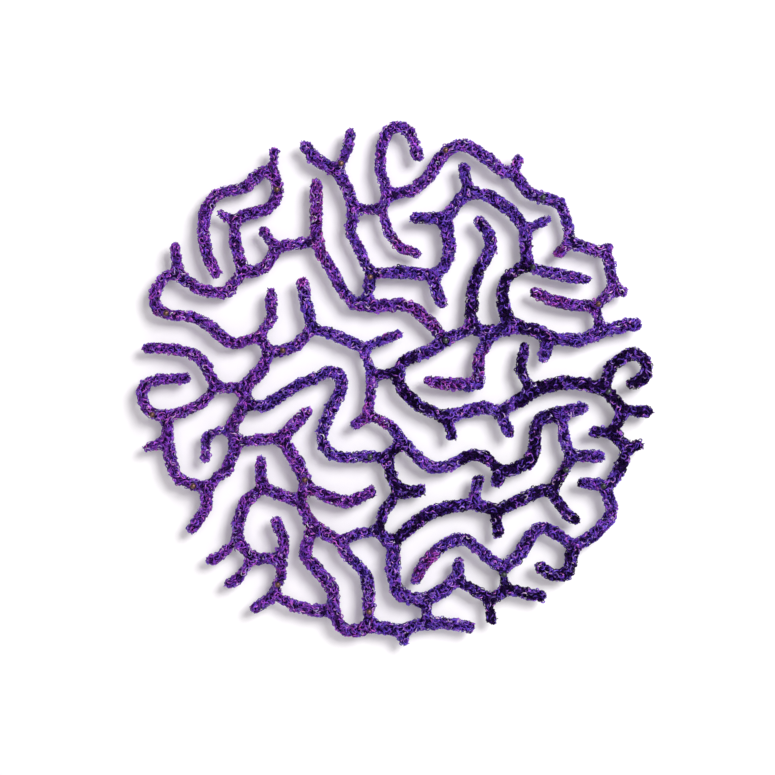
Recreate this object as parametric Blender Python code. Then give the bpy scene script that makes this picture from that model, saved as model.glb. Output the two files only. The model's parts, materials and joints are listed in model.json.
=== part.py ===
"""A brain coral wall piece: a round, open maze of stitched thread strands on ball-headed pins.

The disc stands upright and faces -Y. The origin is on the wall's surface, behind its centre.
"""
from dataclasses import dataclass, field
import math

import bmesh
import bpy
import numpy as np

# Driving dimensions, in metres
DRAWING_UNIT = 0.0005        # routes are drawn at twice full size: a unit is half a millimetre
STAND_OFF = 0.0085           # wall to the middle of the strands
HALF_WIDTH = 0.0031          # half of a strand's width in the disc's plane
HALF_DEPTH = 0.0022          # half of its thickness, from front to back
TWIG_DEPTH = 0.93            # a side twig is a little thinner than the strand it grows from
JOINT_GAP = 0.0003           # left open between pieces that meet

# How a strand is shaped along its length
SIDES = 6
SAMPLES_PER_SPAN = 10
LONGEST_STEP = 0.0115        # between two rings on a straight stretch
LARGEST_TURN = math.radians(31)
SHORTEST_STEP = 0.0012
TIP_WIDTH = 0.55             # a free end's last ring, against the strand's own width
TIP_RING = 0.6               # one more ring near a free end, in half widths
TIP_ROUNDING = 1.1           # where a free end has its full width, in half widths
ROOT_WIDTH = 0.8             # a joined end's first ring, hidden inside its neighbour
ROOT_FLARE = 1.12            # the web at a fork, just outside the neighbour
ROOT_DEPTH = 0.86
ROOT_REACH = (1.25, 3.2)     # where the web is widest and where it has settled, in half widths
LUMP_LENGTH = 0.0125         # along the strand, from one thick place to the next
LUMP_SHARE = 0.055
LUMP_PHASE = (0.7, 0.3)      # per drawing unit across and up, so neighbours' lumps differ

# Pins
PIN_LENGTH = 0.030
PIN_RADIUS = 0.00035
PIN_HEAD_RADIUS = 0.0017
PIN_HEAD_RINGS = [math.radians(angle) for angle in (60, 120)]
PIN_POINT_LENGTH = 0.0022
PIN_HEAD_LIFT = 0.0008       # from the strand's front to the head's underside
PIN_SIDES = 6
MERGE_DISTANCE = 0.000001

# Thread colours, as the strands show them, and the pins' metals
PLUM = (0.082, 0.024, 0.165)
PURPLE = (0.070, 0.026, 0.185)
VIOLET = (0.061, 0.034, 0.215)
INK = (0.030, 0.018, 0.062)
MAGENTA = (0.135, 0.028, 0.170)
BRONZE = (0.330, 0.205, 0.150)
GUNMETAL = (0.115, 0.120, 0.130)
THREAD_ROUGHNESS = 0.55
METAL_ROUGHNESS = 0.3


@dataclass
class Strand:
    """One stretch of the maze. Routes are (across, up) in drawing units from the disc's centre.

    A trunk or twig whose end is in its neighbour's middle is trimmed to it, with the joint gap.
    """

    name: str
    dye: tuple
    trunk: list
    twigs: list = field(default_factory=list)
    meets: tuple = ()
    joined: tuple = (False, False)
    girth: float = 1.0


@dataclass
class Twig:
    """A side branch fused to its trunk, starting in the trunk's middle."""

    route: list
    girth: float = 0.95
    joined_end: bool = False


STRANDS = [
    Strand(
        "northwest_wing", PLUM, girth=0.95, joined=(False, True), meets=("northwest_bar",),
        trunk=[(-176, 106), (-184, 122), (-190, 134), (-191, 148), (-192, 162), (-187, 177),
               (-177, 190), (-164, 193), (-152, 194), (-143, 201), (-134, 211), (-122, 212),
               (-117, 200), (-117, 187), (-122, 178), (-133, 172), (-148, 169), (-159, 162),
               (-160, 148), (-158, 133), (-153, 118), (-152, 112)],
        twigs=[Twig([(-121, 212), (-121, 224), (-120, 237)]),
               Twig([(-159, 162), (-166, 166), (-176, 171)])],
    ),
    Strand(
        "northwest_bar", PLUM, joined=(True, False), meets=("inner_north_sweep",),
        trunk=[(-79, 141), (-90, 140), (-104, 139), (-117, 136), (-122, 125), (-129, 116),
               (-140, 112), (-152, 112), (-159, 102), (-166, 92), (-178, 90), (-192, 93),
               (-206, 100), (-215, 109), (-216, 122), (-221, 140)],
        twigs=[Twig([(-118, 135), (-122, 142), (-134, 156)])],
    ),
    Strand(
        "west_meander", PLUM, girth=0.95, joined=(True, False), meets=("northwest_bar",),
        trunk=[(-216, 110), (-227, 109), (-235, 99), (-240, 86), (-237, 75), (-226, 69),
               (-210, 68), (-198, 66), (-187, 60), (-178, 51), (-170, 44), (-159, 40),
               (-148, 42), (-137, 46), (-129, 55), (-123, 65), (-122, 78), (-124, 95)],
    ),
    Strand(
        "west_arch", PURPLE, girth=1.05, joined=(False, True), meets=("west_meander",),
        trunk=[(-92, 106), (-91, 95), (-88, 80), (-84, 66), (-83, 55), (-90, 45), (-99, 37),
               (-112, 32), (-124, 33), (-131, 40), (-137, 46)],
    ),
    Strand(
        "inner_north_sweep", MAGENTA, girth=1.04, joined=(False, True), meets=("centre_curve",),
        trunk=[(-78, 204), (-78, 190), (-78, 170), (-78, 150), (-76, 136), (-67, 122),
               (-58, 105), (-50, 90), (-40, 80), (-25, 77), (-5, 78), (10, 79), (24, 72),
               (35, 62), (43, 53), (48, 44)],
    ),
    Strand(
        "north_stem", PURPLE, joined=(False, True), meets=("inner_north_sweep",),
        trunk=[(-92, 241), (-84, 230), (-72, 219), (-56, 212), (-48, 196), (-41, 178),
               (-44, 160), (-42, 144), (-32, 128), (-24, 112), (-24, 98), (-27, 88),
               (-28, 78)],
        twigs=[Twig([(-56, 212), (-51, 223), (-47, 235), (-43, 255)])],
    ),
    Strand(
        "north_hook", PURPLE, girth=0.95, joined=(True, False), meets=("north_stem",),
        trunk=[(-41, 176), (-28, 174), (-13, 175), (-7, 187), (-13, 202), (-14, 219),
               (-13, 236), (-8, 250), (2, 257), (13, 254), (19, 244), (20, 235), (27, 223)],
        twigs=[Twig([(-12, 174), (-10, 162), (-5, 149), (3, 138), (14, 132), (27, 129)])],
    ),
    Strand(
        "northeast_rim", PURPLE, joined=(True, True), meets=("north_hook", "east_rim"),
        trunk=[(-7, 189), (5, 189), (18, 193), (30, 201), (38, 212), (46, 226), (57, 236),
               (72, 238), (85, 232), (96, 222), (106, 213), (119, 210), (127, 197),
               (138, 188), (153, 184), (166, 180), (172, 165), (175, 150), (175, 142)],
        twigs=[Twig([(119, 211), (122, 220), (126, 229)])],
    ),
    Strand(
        "east_rim", PURPLE, joined=(False, True), meets=("east_bar",),
        trunk=[(163, 126), (168, 135), (175, 141), (186, 138), (198, 133), (210, 132),
               (215, 120), (218, 106), (217, 93), (209, 85), (202, 77), (202, 64), (205, 52)],
        twigs=[Twig([(210, 132), (216, 140)]),
               Twig([(218, 92), (234, 92)]),
               Twig([(202, 78), (190, 78), (175, 79), (160, 82), (148, 87), (136, 94)])],
    ),
    Strand(
        "inner_north_bridge", VIOLET, girth=1.05, joined=(True, True),
        meets=("north_stem", "northeast_ring"),
        trunk=[(-24, 110), (-10, 110), (8, 112), (24, 110), (37, 107), (49, 115), (55, 130),
               (54, 148), (50, 165)],
        twigs=[Twig([(37, 107), (42, 94), (49, 76)])],
    ),
    Strand(
        "northeast_ring", VIOLET, joined=(False, True), meets=("east_bar",),
        trunk=[(15, 165), (32, 167), (50, 165), (60, 179), (74, 190), (92, 189), (107, 180),
               (120, 169), (131, 154), (130, 137), (133, 122), (126, 115), (114, 108),
               (108, 95), (110, 75), (114, 57)],
        twigs=[Twig([(74, 190), (70, 204), (70, 221)]),
               Twig([(131, 153), (142, 157), (156, 166)]),
               Twig([(131, 118), (144, 113), (160, 110), (176, 107), (196, 103)])],
    ),
    Strand(
        "east_bar", VIOLET, girth=1.15, joined=(True, False), meets=("inner_east_post",),
        trunk=[(77, 55), (90, 52), (103, 51), (114, 57), (128, 57), (141, 54), (154, 46),
               (170, 44), (186, 43), (198, 47), (212, 54), (230, 58), (247, 60)],
        twigs=[Twig([(153, 46), (151, 34), (149, 21)])],
    ),
    Strand(
        "inner_east_post", INK,
        trunk=[(82, 167), (88, 158), (95, 149), (97, 137), (91, 124), (83, 110), (78, 96),
               (78, 80), (77, 65), (77, 49)],
    ),
    Strand(
        "inner_east_foot", MAGENTA, girth=1.05, joined=(False, True), meets=("east_bar",),
        trunk=[(30, 4), (42, 0), (58, 0), (74, -1), (84, -1), (84, 12), (84, 26), (89, 38),
               (98, 49)],
    ),
    Strand(
        "centre_curve", INK, joined=(True, False), meets=("inner_east_post", "centre_stem"),
        trunk=[(77, 55), (68, 49), (56, 46), (45, 39), (34, 32), (20, 28), (8, 20), (4, 8),
               (7, -5), (17, -16), (29, -25), (40, -31), (53, -33), (66, -30), (80, -24),
               (93, -24), (105, -29), (111, -40), (116, -54)],
        twigs=[Twig([(4, 11), (-9, 9), (-22, 8)], girth=1.15, joined_end=True),
               Twig([(53, -33), (54, -44), (59, -57)])],
    ),
    Strand(
        "east_zigzag", INK, girth=1.1, joined=(True, True), meets=("centre_curve", "southeast_hook"),
        trunk=[(105, -29), (118, -22), (128, -14), (138, -7), (154, -2), (170, 1), (188, 0),
               (202, -2), (213, -8), (222, -18), (228, -27), (224, -38), (219, -47),
               (224, -56), (232, -66), (229, -78), (222, -92), (214, -103)],
        twigs=[Twig([(136, -7), (130, 4), (126, 17), (128, 29), (132, 40)]),
               Twig([(228, -27), (243, -28), (258, -28)]),
               Twig([(220, -48), (208, -48), (194, -49)]),
               Twig([(231, -64), (240, -62), (249, -60)])],
    ),
    Strand(
        "east_curl", INK, girth=1.04, joined=(True, False), meets=("east_zigzag",),
        trunk=[(210, -5), (212, 8), (218, 19), (228, 26), (240, 30), (249, 24), (252, 12),
               (247, 3), (232, -1)],
    ),
    Strand(
        "southeast_hook", PURPLE, girth=1.06,
        trunk=[(183, -99), (196, -100), (208, -102), (214, -110), (217, -122), (216, -134),
               (207, -144), (197, -153), (184, -160), (178, -168), (178, -180), (170, -191),
               (158, -192), (150, -187), (142, -180)],
    ),
    Strand(
        "southeast_wave", VIOLET, girth=1.04, joined=(False, True), meets=("southeast_hook",),
        trunk=[(21, -201), (23, -190), (30, -179), (40, -170), (50, -161), (61, -156),
               (72, -156), (82, -163), (93, -174), (106, -182), (118, -179), (127, -169),
               (134, -157), (141, -147), (150, -144), (160, -149), (170, -157), (180, -162)],
    ),
    Strand(
        "southeast_fork", INK, joined=(True, False), meets=("south_stem", "southeast_wave"),
        trunk=[(64, -198), (76, -203), (86, -210), (94, -215), (104, -212), (112, -206),
               (126, -208), (138, -211), (152, -213)],
        twigs=[Twig([(112, -206), (110, -195), (107, -182)], joined_end=True),
               Twig([(93, -215), (95, -227), (99, -241)])],
    ),
    Strand(
        "south_stem", VIOLET, girth=1.12, joined=(True, False), meets=("south_inner_wave",),
        trunk=[(-15, -147), (-7, -156), (-1, -164), (-1, -180), (-1, -197), (5, -210),
               (18, -216), (33, -216), (46, -209), (57, -201), (64, -191), (64, -174)],
    ),
    Strand(
        "southeast_bar", INK, girth=1.04, joined=(True, True), meets=("south_stem", "inner_southeast_leg"),
        trunk=[(-1, -160), (8, -151), (18, -141), (31, -132), (46, -125), (62, -122),
               (77, -119), (90, -124), (101, -127), (115, -122), (130, -114), (144, -108),
               (158, -106)],
        twigs=[Twig([(78, -119), (81, -106), (86, -91)]),
               Twig([(101, -127), (102, -140), (105, -155)])],
    ),
    Strand(
        "south_inner_wave", PURPLE, girth=0.96, joined=(True, True),
        meets=("centre_south_stem", "south_rim"),
        trunk=[(3, -110), (-6, -121), (-13, -134), (-16, -146), (-30, -149), (-43, -152),
               (-52, -159), (-49, -171), (-38, -180), (-29, -190), (-26, -204), (-25, -222),
               (-27, -242)],
    ),
    Strand(
        "inner_southeast_arch", INK, girth=1.12,
        trunk=[(194, -24), (180, -25), (165, -31), (150, -33), (142, -42), (140, -55),
               (140, -68), (134, -79), (121, -85), (107, -87), (101, -103)],
    ),
    Strand(
        "inner_southeast_leg", VIOLET, girth=0.96, joined=(True, False), meets=("inner_southeast_arch",),
        trunk=[(167, -31), (168, -46), (171, -58), (177, -71), (173, -83), (164, -96),
               (158, -106), (164, -119), (172, -131), (185, -138)],
        twigs=[Twig([(177, -71), (192, -73), (211, -73)], girth=1.12)],
    ),
    Strand(
        "centre_south_wave", VIOLET, joined=(True, True),
        meets=("centre_stem", "inner_southeast_arch"),
        trunk=[(-24, -31), (-14, -39), (-3, -43), (4, -53), (14, -64), (25, -76), (36, -84),
               (50, -84), (63, -78), (77, -71), (90, -73), (100, -81), (107, -87)],
    ),
    Strand(
        "centre_stem", PURPLE, girth=0.9, joined=(True, False), meets=("west_arch",),
        trunk=[(-83, 55), (-70, 51), (-57, 48), (-44, 41), (-32, 35), (-27, 24), (-23, 10),
               (-23, -5), (-24, -20), (-28, -34), (-43, -43)],
        twigs=[Twig([(-31, 36), (-16, 42), (-2, 47), (8, 51)])],
    ),
    Strand(
        "inner_west_meander", VIOLET, girth=0.96, joined=(True, True),
        meets=("inner_west_stem", "centre_south_stem"),
        trunk=[(-149, -22), (-137, -24), (-124, -20), (-112, -12), (-103, -4), (-90, 0),
               (-78, 6), (-66, 12), (-55, 9), (-52, -3), (-57, -16), (-65, -29), (-71, -43),
               (-72, -57), (-65, -69), (-52, -74), (-36, -73), (-20, -73), (-7, -74)],
    ),
    Strand(
        "centre_south_stem", INK, girth=1.05, joined=(True, False), meets=("centre_south_wave",),
        trunk=[(6, -59), (-3, -66), (-7, -76), (-4, -90), (2, -104), (14, -109), (32, -105)],
    ),
    Strand(
        "southwest_bar", PLUM, joined=(False, True), meets=("south_inner_wave",),
        trunk=[(-133, -73), (-134, -88), (-130, -104), (-117, -109), (-104, -115), (-95, -118),
               (-91, -130), (-83, -140), (-72, -148), (-62, -154), (-53, -159)],
    ),
    Strand(
        "south_rim", PLUM, girth=1.04, joined=(True, False), meets=("southwest_bar", "south_stem"),
        trunk=[(-82, -142), (-86, -158), (-89, -171), (-80, -184), (-69, -194), (-61, -207),
               (-61, -222), (-58, -237), (-48, -247), (-35, -247), (-24, -242), (-8, -245),
               (8, -247), (20, -243), (34, -239), (50, -239), (66, -241), (80, -246)],
        twigs=[Twig([(9, -247), (10, -262)]),
               Twig([(32, -238), (32, -216)], joined_end=True)],
    ),
    Strand(
        "inner_southwest_stem", PLUM, girth=1.08, joined=(False, True), meets=("southwest_bar",),
        trunk=[(-84, -24), (-92, -34), (-103, -44), (-112, -55), (-103, -69), (-94, -84),
               (-88, -100), (-95, -117)],
        twigs=[Twig([(-87, -104), (-73, -110), (-60, -116), (-46, -119), (-34, -115),
                     (-19, -104)])],
    ),
    Strand(
        "inner_west_stem", PLUM, girth=1.06, joined=(True, True),
        meets=("west_arch", "southwest_rim", "inner_southwest_stem"),
        trunk=[(-126, 32), (-129, 18), (-139, 8), (-149, -4), (-149, -19), (-157, -33),
               (-163, -45), (-158, -58), (-161, -73), (-168, -87), (-178, -97), (-187, -103)],
        twigs=[Twig([(-163, -43), (-176, -46), (-187, -53), (-189, -66), (-188, -80)], girth=0.83),
               Twig([(-158, -59), (-142, -57), (-126, -55), (-112, -55)], joined_end=True)],
    ),
    Strand(
        "west_spur", PLUM, girth=0.95, joined=(True, False), meets=("inner_west_stem",),
        trunk=[(-150, -4), (-165, -5), (-178, -3), (-184, 8), (-191, 22), (-203, 31),
               (-219, 34), (-236, 36), (-252, 35)],
    ),
    Strand(
        "west_hook", PLUM, girth=0.9, joined=(True, False), meets=("west_spur",),
        trunk=[(-180, -3), (-184, -12), (-196, -22), (-212, -29), (-228, -32), (-243, -30),
               (-251, -19), (-252, -5), (-244, 2), (-229, 4), (-214, 5), (-203, 6)],
    ),
    Strand(
        "southwest_rim", PLUM, joined=(True, False), meets=("west_hook",),
        trunk=[(-227, -32), (-228, -46), (-226, -62), (-223, -80), (-217, -94), (-203, -101),
               (-188, -104), (-187, -120), (-194, -136), (-206, -149)],
        twigs=[Twig([(-228, -57), (-239, -61), (-251, -66)])],
    ),
    Strand(
        "southwest_arch", PLUM, joined=(True, True), meets=("southwest_bar", "southwest_post"),
        trunk=[(-131, -104), (-143, -112), (-152, -123), (-156, -138), (-157, -155),
               (-149, -168), (-140, -175), (-127, -174), (-113, -174)],
        twigs=[Twig([(-158, -158), (-170, -167), (-180, -176), (-188, -175)]),
               Twig([(-142, -175), (-149, -189), (-169, -203)])],
    ),
    Strand(
        "southwest_post", PLUM, girth=0.92, meets=("south_rim",),
        trunk=[(-121, -134), (-113, -147), (-110, -160), (-113, -174), (-112, -190),
               (-118, -203), (-123, -214), (-132, -219), (-143, -228)],
        twigs=[Twig([(-119, -212), (-105, -219), (-91, -226), (-76, -228), (-62, -228)],
                    girth=1.12, joined_end=True)],
    ),
]

# Pins, as (strand, across, up) in drawing units, each on its strand's middle line
BRONZE_PINS = [
    ("north_stem", -53, 219), ("northwest_wing", -117, 193), ("west_meander", -227, 70),
    ("north_stem", -24, 106), ("west_arch", -111, 33), ("northeast_rim", 51, 232),
    ("east_rim", 203, 79), ("west_hook", -241, -31), ("southwest_rim", -200, -102),
    ("inner_southwest_stem", -89, -96), ("southwest_post", -116, -200),
    ("south_inner_wave", -25, -227),
]
GREY_PINS = [
    ("northeast_rim", 148, 185), ("northeast_ring", 138, 116), ("centre_curve", 51, 43),
    ("inner_west_meander", -24, -73), ("east_zigzag", 213, -8),
    ("inner_southeast_leg", 171, -86), ("southeast_hook", 208, -102),
    ("southeast_fork", 109, -190),
]


def clear_scene():
    for thing in list(bpy.data.objects):
        bpy.data.objects.remove(thing)


def principled(name, colour, roughness, metallic):
    material = bpy.data.materials.new(name)
    material.use_nodes = True
    shader = material.node_tree.nodes["Principled BSDF"]
    shader.inputs["Base Color"].default_value = (*colour, 1)
    shader.inputs["Roughness"].default_value = roughness
    shader.inputs["Metallic"].default_value = metallic
    return material


def smooth_route(points):
    """Closely spaced places on a smooth curve through the drawn points, in metres."""
    knots = np.array(points, float) * DRAWING_UNIT
    spans = np.linalg.norm(np.diff(knots, axis=0), axis=1)
    slopes = np.gradient(knots, np.concatenate([[0], np.cumsum(spans)]), axis=0)
    share = np.linspace(0, 1, SAMPLES_PER_SPAN, endpoint=False)[:, None]
    square, cube = share ** 2, share ** 3
    pieces = []
    for i, span in enumerate(spans):
        pieces.append(
            (2 * cube - 3 * square + 1) * knots[i]
            + (cube - 2 * square + share) * span * slopes[i]
            + (3 * square - 2 * cube) * knots[i + 1]
            + (cube - square) * span * slopes[i + 1]
        )
    pieces.append(knots[-1:])
    return np.vstack(pieces)


def ring_places(route, free_start, free_end, half_width):
    """Distances along the route that get a ring: closer at bends, and one more at each free end."""
    steps = np.diff(route, axis=0)
    lengths = np.linalg.norm(steps, axis=1)
    along = np.concatenate([[0], np.cumsum(lengths)])
    headings = np.unwrap(np.arctan2(steps[:, 1], steps[:, 0]))
    total = along[-1]
    places = [0.0]
    turned_at = headings[0]
    for i in range(1, len(headings)):
        turn = abs(headings[i] - turned_at)
        step = along[i] - places[-1]
        if step > LONGEST_STEP or (turn > LARGEST_TURN and step > SHORTEST_STEP):
            places.append(along[i])
            turned_at = headings[i]
    places.append(total)
    if free_start:
        places.append(TIP_RING * half_width)
    if free_end:
        places.append(total - TIP_RING * half_width)
    kept = []
    for place in sorted(places):
        if not kept or place - kept[-1] > SHORTEST_STEP or place == total:
            kept.append(place)
    if len(kept) > 2 and total - kept[-2] < SHORTEST_STEP:
        del kept[-2]
    return along, np.array(kept)


def end_shape(distance, free, half_width):
    """Width and depth factors near an end, at a distance from it."""
    if free:
        rounding = 1 - min(1, distance / half_width / TIP_ROUNDING)
        factor = TIP_WIDTH + (1 - TIP_WIDTH) * math.sqrt(1 - rounding ** 2)
        return factor, factor
    leaving, settled = [share * half_width for share in ROOT_REACH]
    depth = np.interp(distance, [leaving, settled], [ROOT_DEPTH, 1])
    width = np.interp(distance, [0, leaving, settled], [ROOT_WIDTH, ROOT_FLARE, 1])
    return width, depth


def strand_mesh(name, points, girth, depth_share, joined_start, joined_end, swell=0.0):
    """A closed tube with an oval section along a route, lumpy as stitched thread is."""
    route = smooth_route(points)
    half_width = HALF_WIDTH * girth
    along, places = ring_places(route, not joined_start, not joined_end, half_width)
    total = along[-1]
    phase = LUMP_PHASE[0] * points[0][0] + LUMP_PHASE[1] * points[0][1]
    work = bmesh.new()
    rings = []
    for place in places:
        centre = [np.interp(place, along, route[:, axis]) for axis in (0, 1)]
        behind = [np.interp(place - SHORTEST_STEP, along, route[:, axis]) for axis in (0, 1)]
        ahead = [np.interp(place + SHORTEST_STEP, along, route[:, axis]) for axis in (0, 1)]
        heading = math.atan2(ahead[1] - behind[1], ahead[0] - behind[0])
        start_width, start_depth = end_shape(place, not joined_start, half_width)
        end_width, end_depth = end_shape(total - place, not joined_end, half_width)
        lump = 1 + LUMP_SHARE * math.sin(place / LUMP_LENGTH * math.tau + phase)
        width = half_width * lump * start_width * end_width + swell
        depth = HALF_DEPTH * depth_share * lump * start_depth * end_depth + swell
        ring = []
        for corner in range(SIDES):
            angle = (corner + 0.5) * math.tau / SIDES
            aside = width * math.cos(angle) / math.cos(math.pi / SIDES)
            ring.append(work.verts.new((
                centre[0] - math.sin(heading) * aside,
                -STAND_OFF - depth * math.sin(angle),
                centre[1] + math.cos(heading) * aside,
            )))
        rings.append(ring)
    for first, second in zip(rings, rings[1:]):
        for corner in range(SIDES):
            after = (corner + 1) % SIDES
            work.faces.new((first[corner], first[after], second[after], second[corner]))
    work.faces.new(reversed(rings[0]))
    work.faces.new(rings[-1])
    bmesh.ops.recalc_face_normals(work, faces=work.faces)
    mesh = bpy.data.meshes.new(name)
    work.to_mesh(mesh)
    work.free()
    return mesh


def add_object(name, mesh, helper=False):
    thing = bpy.data.objects.new(name, mesh)
    bpy.context.scene.collection.objects.link(thing)
    if helper:
        thing.hide_render = True
        thing.display_type = "WIRE"
    return thing


def combine(thing, other, operation):
    modifier = thing.modifiers.new(other.name, "BOOLEAN")
    modifier.operation = operation
    modifier.object = other
    modifier.solver = "EXACT"


def build_strands():
    """Every strand with its twigs fused on, trimmed to the strands it meets."""
    by_name = {strand.name: strand for strand in STRANDS}
    cutters = {}
    for name in sorted({other for strand in STRANDS for other in strand.meets}):
        other = by_name[name]
        swell = JOINT_GAP / math.cos(math.pi / SIDES)
        mesh = strand_mesh(f"{name}_room", other.trunk, other.girth, 1.0, *other.joined, swell)
        cutters[name] = add_object(f"{name}_room", mesh, helper=True)
    objects = {}
    for strand in STRANDS:
        mesh = strand_mesh(strand.name, strand.trunk, strand.girth, 1.0, *strand.joined)
        thing = add_object(strand.name, mesh)
        mesh.materials.append(
            principled(f"{strand.name}_thread", strand.dye, THREAD_ROUGHNESS, 0.0))
        mesh.shade_smooth()
        for number, twig in enumerate(strand.twigs, 1):
            name = f"{strand.name}_twig_{number}"
            twig_mesh = strand_mesh(
                name, twig.route, strand.girth * twig.girth, TWIG_DEPTH, True, twig.joined_end)
            combine(thing, add_object(name, twig_mesh, helper=True), "UNION")
        for name in strand.meets:
            combine(thing, cutters[name], "DIFFERENCE")
        objects[strand.name] = thing
    return objects


def turned_mesh(name, profile, sides):
    """A closed solid turned about the Y axis from (radius, y) points that start and end on it."""
    work = bmesh.new()
    corners = [work.verts.new((radius, y, 0)) for radius, y in profile]
    edges = [work.edges.new(pair) for pair in zip(corners, corners[1:])]
    bmesh.ops.spin(work, geom=corners + edges, cent=(0, 0, 0), axis=(0, 1, 0),
                   angle=math.tau, steps=sides, use_merge=True)
    bmesh.ops.remove_doubles(work, verts=work.verts, dist=MERGE_DISTANCE)
    bmesh.ops.recalc_face_normals(work, faces=work.faces)
    mesh = bpy.data.meshes.new(name)
    work.to_mesh(mesh)
    work.free()
    return mesh


def pin_mesh(name):
    """A ball-headed pin: its head is in front, and its point goes into the wall."""
    head_back = -STAND_OFF - HALF_DEPTH - PIN_HEAD_LIFT
    head_middle = head_back - PIN_HEAD_RADIUS
    point = head_middle - PIN_HEAD_RADIUS + PIN_LENGTH
    profile = [(0, point), (PIN_RADIUS, point - PIN_POINT_LENGTH)]
    neck_angle = math.asin(PIN_RADIUS / PIN_HEAD_RADIUS)
    for angle in [neck_angle] + PIN_HEAD_RINGS:
        profile.append((PIN_HEAD_RADIUS * math.sin(angle),
                        head_middle + PIN_HEAD_RADIUS * math.cos(angle)))
    profile.append((0, head_middle - PIN_HEAD_RADIUS))
    return turned_mesh(name, profile, PIN_SIDES)


def hole_mesh(name):
    """Room for a pin's shank through a strand, with the joint gap all round."""
    reach = 2 * HALF_DEPTH
    radius = (PIN_RADIUS + JOINT_GAP) / math.cos(math.pi / PIN_SIDES)
    profile = [(0, -STAND_OFF + reach), (radius, -STAND_OFF + reach),
               (radius, -STAND_OFF - reach), (0, -STAND_OFF - reach)]
    return turned_mesh(name, profile, PIN_SIDES)


def build_pins(strands):
    """Pins through the strands, each with room around its shank."""
    kinds = (("bronze", BRONZE_PINS, BRONZE), ("grey", GREY_PINS, GUNMETAL))
    for kind, places, colour in kinds:
        for number, (strand, across, up) in enumerate(places, 1):
            name = f"pin_{kind}_{number:02d}"
            pin = add_object(name, pin_mesh(name))
            pin.data.materials.append(principled(f"{name}_metal", colour, METAL_ROUGHNESS, 1.0))
            pin.data.shade_smooth()
            hole = add_object(f"{name}_hole", hole_mesh(f"{name}_hole"), helper=True)
            for thing in (pin, hole):
                thing.location = (across * DRAWING_UNIT, 0, up * DRAWING_UNIT)
            combine(strands[strand], hole, "DIFFERENCE")


clear_scene()
build_pins(build_strands())
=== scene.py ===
# %% [markdown]
# # A brain coral, stitched in thread
# The real object is a round wall piece. A sewing machine, guided by hand, lays thread over thread on a
# film that is washed away afterwards. Only the thread is left: open strands that wind like the ridges of
# a brain coral. Fine pins with ball heads hold it a few millimetres in front of a white wall, so that it
# casts soft shadows. This file dresses the part's plain solids with that thread, step by step.

# %% Load the frame
import json
import math

import bpy
import numpy as np
from mathutils import Matrix, Vector, kdtree


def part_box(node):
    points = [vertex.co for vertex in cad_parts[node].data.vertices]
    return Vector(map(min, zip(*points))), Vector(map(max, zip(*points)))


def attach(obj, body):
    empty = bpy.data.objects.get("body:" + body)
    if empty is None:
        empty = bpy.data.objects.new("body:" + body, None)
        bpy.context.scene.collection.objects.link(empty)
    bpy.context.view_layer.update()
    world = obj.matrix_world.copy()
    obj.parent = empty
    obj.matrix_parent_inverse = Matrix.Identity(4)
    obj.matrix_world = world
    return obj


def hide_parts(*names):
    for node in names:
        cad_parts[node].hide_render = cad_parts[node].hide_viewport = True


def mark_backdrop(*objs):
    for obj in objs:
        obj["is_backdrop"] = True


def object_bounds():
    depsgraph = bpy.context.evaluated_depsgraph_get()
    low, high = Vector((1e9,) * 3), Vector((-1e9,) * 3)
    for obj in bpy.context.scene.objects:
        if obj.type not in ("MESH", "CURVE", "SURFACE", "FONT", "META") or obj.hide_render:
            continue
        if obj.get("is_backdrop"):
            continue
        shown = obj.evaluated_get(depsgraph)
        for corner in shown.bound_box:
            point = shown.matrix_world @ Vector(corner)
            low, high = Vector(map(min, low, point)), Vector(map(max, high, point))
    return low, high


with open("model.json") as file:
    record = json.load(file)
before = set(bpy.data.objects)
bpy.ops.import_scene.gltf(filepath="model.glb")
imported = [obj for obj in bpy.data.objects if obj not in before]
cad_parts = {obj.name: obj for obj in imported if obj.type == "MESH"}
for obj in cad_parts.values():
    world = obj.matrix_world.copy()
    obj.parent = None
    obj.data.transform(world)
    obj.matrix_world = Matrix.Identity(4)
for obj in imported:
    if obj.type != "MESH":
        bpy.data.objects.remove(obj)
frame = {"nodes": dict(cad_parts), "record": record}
cad_box = [list(corner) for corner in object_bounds()]

MM = 0.001
nodes = frame["nodes"]
slot_of = {row["node"]: row["material_slot"] for row in frame["record"]["subparts"]}
strand_names = sorted(name for name in nodes if not name.startswith("pin_"))
pin_names = sorted(name for name in nodes if name.startswith("pin_"))
print(len(strand_names), "strands and", len(pin_names), "pins")

# %% [markdown]
# ## Small helpers
# Operators act on whatever is selected, and loading leaves the solids selected. So each step starts by
# selecting just the object it works on.

# %% Select, finish and measure
def select_only(*things):
    """Nothing but these objects is selected, and the first is active."""
    bpy.ops.object.select_all(action="DESELECT")
    for thing in things:
        thing.select_set(True)
    bpy.context.view_layer.objects.active = things[0]


def apply_modifier(thing, kind, **settings):
    """Adds a modifier with these settings and applies it."""
    select_only(thing)
    modifier = thing.modifiers.new(kind, kind)
    for setting, value in settings.items():
        setattr(modifier, setting, value)
    bpy.ops.object.modifier_apply(modifier=modifier.name)


def mesh_array(items, attribute, width):
    """One attribute of a mesh's vertices, edges or faces as an array."""
    values = np.empty(len(items) * width, np.float32 if attribute in ("co", "vector") else np.int32)
    items.foreach_get(attribute, values)
    return values.reshape(-1, width)


def unit(vectors):
    """The same vectors with a length of one."""
    lengths = np.linalg.norm(vectors, axis=-1, keepdims=True)
    return vectors / np.maximum(lengths, 1e-9)


# %% [markdown]
# ## The camera
# The photograph looks straight at the wall. One pixel of it shows half a millimetre of the object, and
# the disc's centre lies a little right of and above the picture's centre. A long lens keeps the
# perspective as flat as it is there.

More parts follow.
